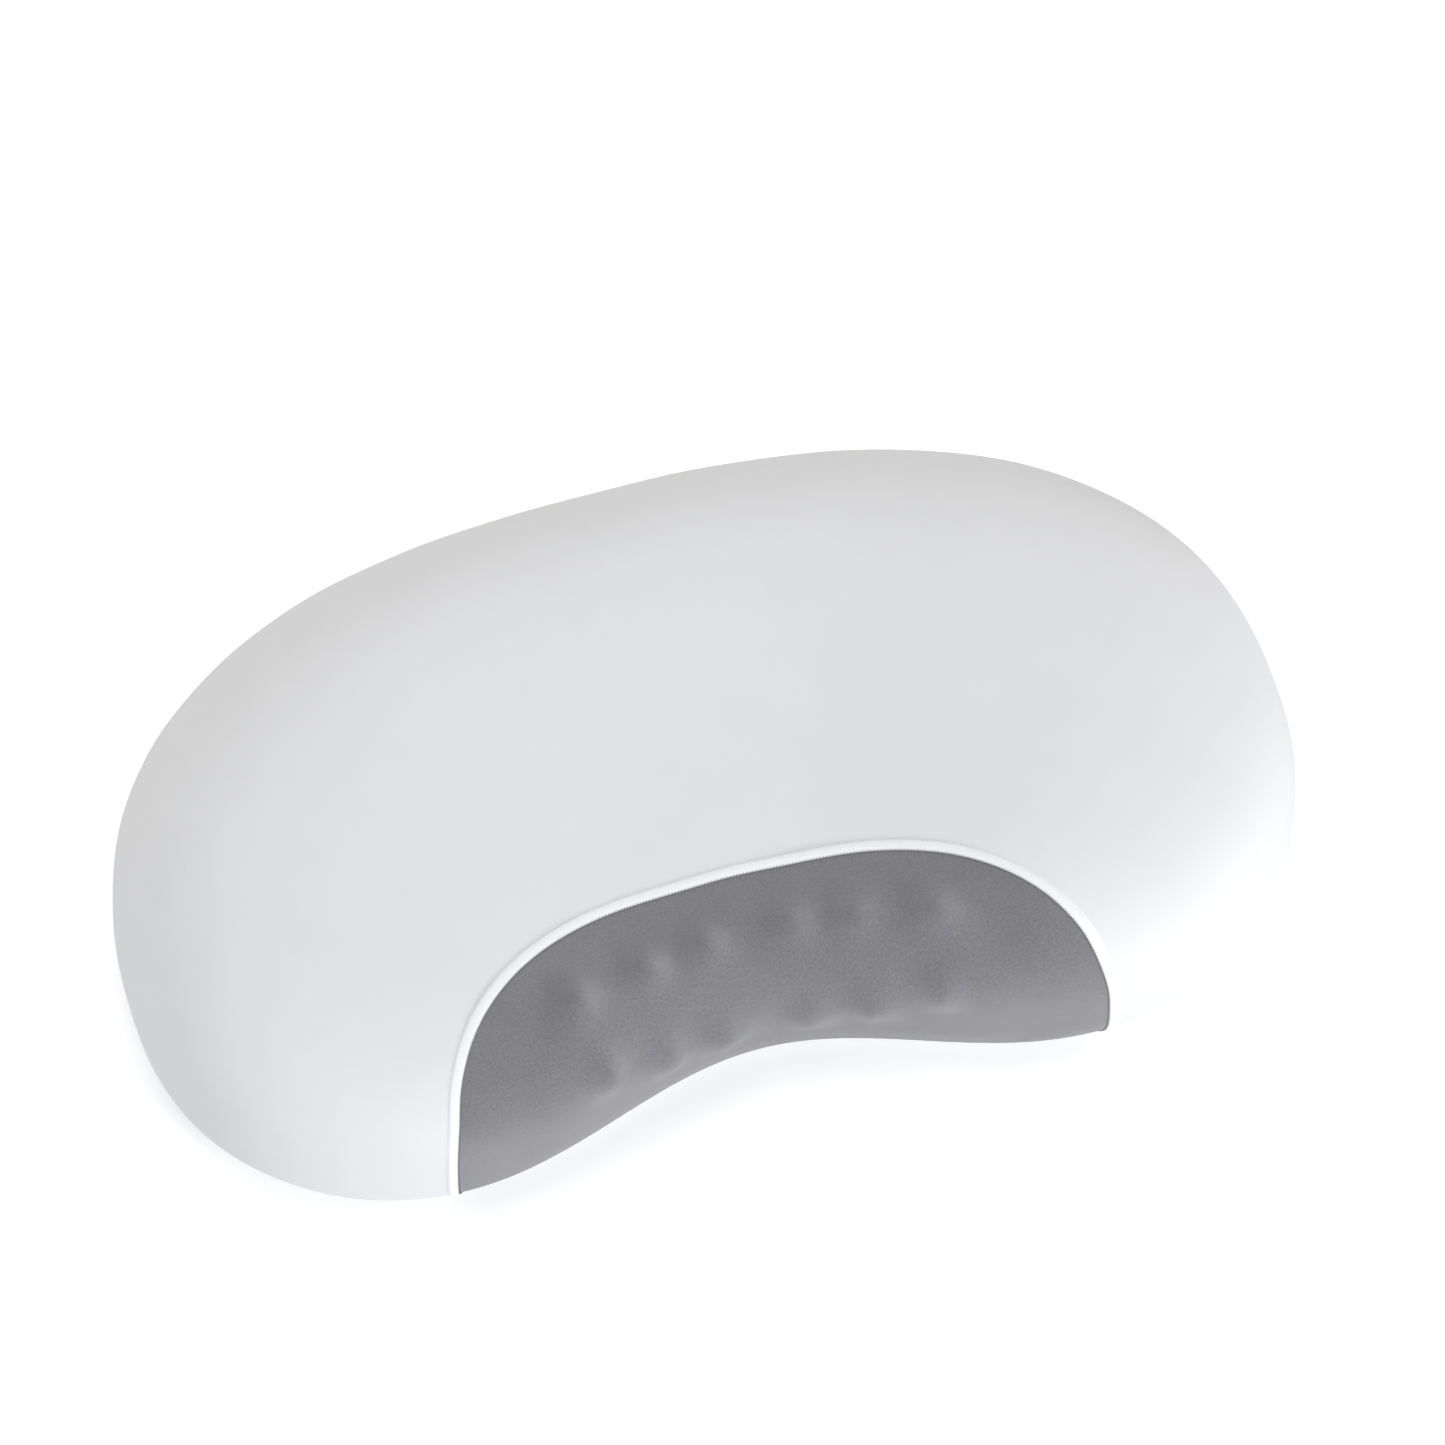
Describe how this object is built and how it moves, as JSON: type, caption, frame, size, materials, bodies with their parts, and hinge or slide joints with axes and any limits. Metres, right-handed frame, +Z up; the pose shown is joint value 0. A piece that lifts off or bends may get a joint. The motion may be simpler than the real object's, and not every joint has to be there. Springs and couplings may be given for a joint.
{
  "type": "massage neck pillow",
  "caption": "Bean-shaped foam neck pillow with a smooth white knit cover, an arched grey neck panel over massage nubs, and a zip under the back rim.",
  "frame": {"origin": "middle of the footprint, on the flat base", "axes": "+X along the pillow's length, +Y towards the straight back edge with the zip, -Y towards the neck side with the grey panel, +Z up"},
  "size_m": [0.6, 0.3485, 0.112],
  "materials": {
    "white_knit": "smooth fine stretch knit, matt with a soft sheen",
    "grey_knit": "fine mid-grey knit, matt",
    "binding": "white knit binding, slightly glossier than the cover",
    "liner": "thin off-white jersey",
    "foam": "open-cell cream foam, matt",
    "nub_pad": "soft moulded rubber, matt",
    "nub": "soft moulded rubber, satin",
    "zip_tape": "white woven tape",
    "zip_coil": "white nylon coil, satin",
    "zip_metal": "nickel-plated zinc, bright with fine wear",
    "label": "white satin ribbon, blank"
  },
  "bodies": {
    "pillow": {"foam_core": "foam", "nub_pad": "nub_pad", "inner_liner": "liner", "top_cover": "white_knit", "neck_panel": "grey_knit", "neck_binding": "binding", "base_cover": "white_knit", "zip_tape_upper": "zip_tape", "zip_tape_lower": "zip_tape", "zip_coil_upper": "zip_coil", "zip_coil_lower": "zip_coil", "zip_top_stops": "zip_metal", "zip_bottom_stop": "zip_metal", "care_label": "label", "nub_upper_1": "nub", "nub_upper_2": "nub", "nub_upper_3": "nub", "nub_upper_4": "nub", "nub_upper_5": "nub", "nub_upper_6": "nub", "nub_lower_1": "nub", "nub_lower_2": "nub", "nub_lower_3": "nub", "nub_lower_4": "nub", "nub_lower_5": "nub", "nub_lower_6": "nub"},
    "slider": {"zip_slider": "zip_metal"},
    "pull": {"zip_pull": "zip_metal"}
  },
  "joints": [
    {"name": "zip_slide", "type": "hinge", "parent": "pillow", "child": "slider", "pos_m": [0, -0.48256, 0.02166], "axis": [0, 0, 1], "range_deg": [0, 25.56]},
    {"name": "pull_swing", "type": "hinge", "parent": "slider", "child": "pull", "pos_m": [0.14447, 0.15428, 0.0197], "axis": [-0.1205, -0.5311, -0.8387], "range_deg": [0, 175]}
  ]
}
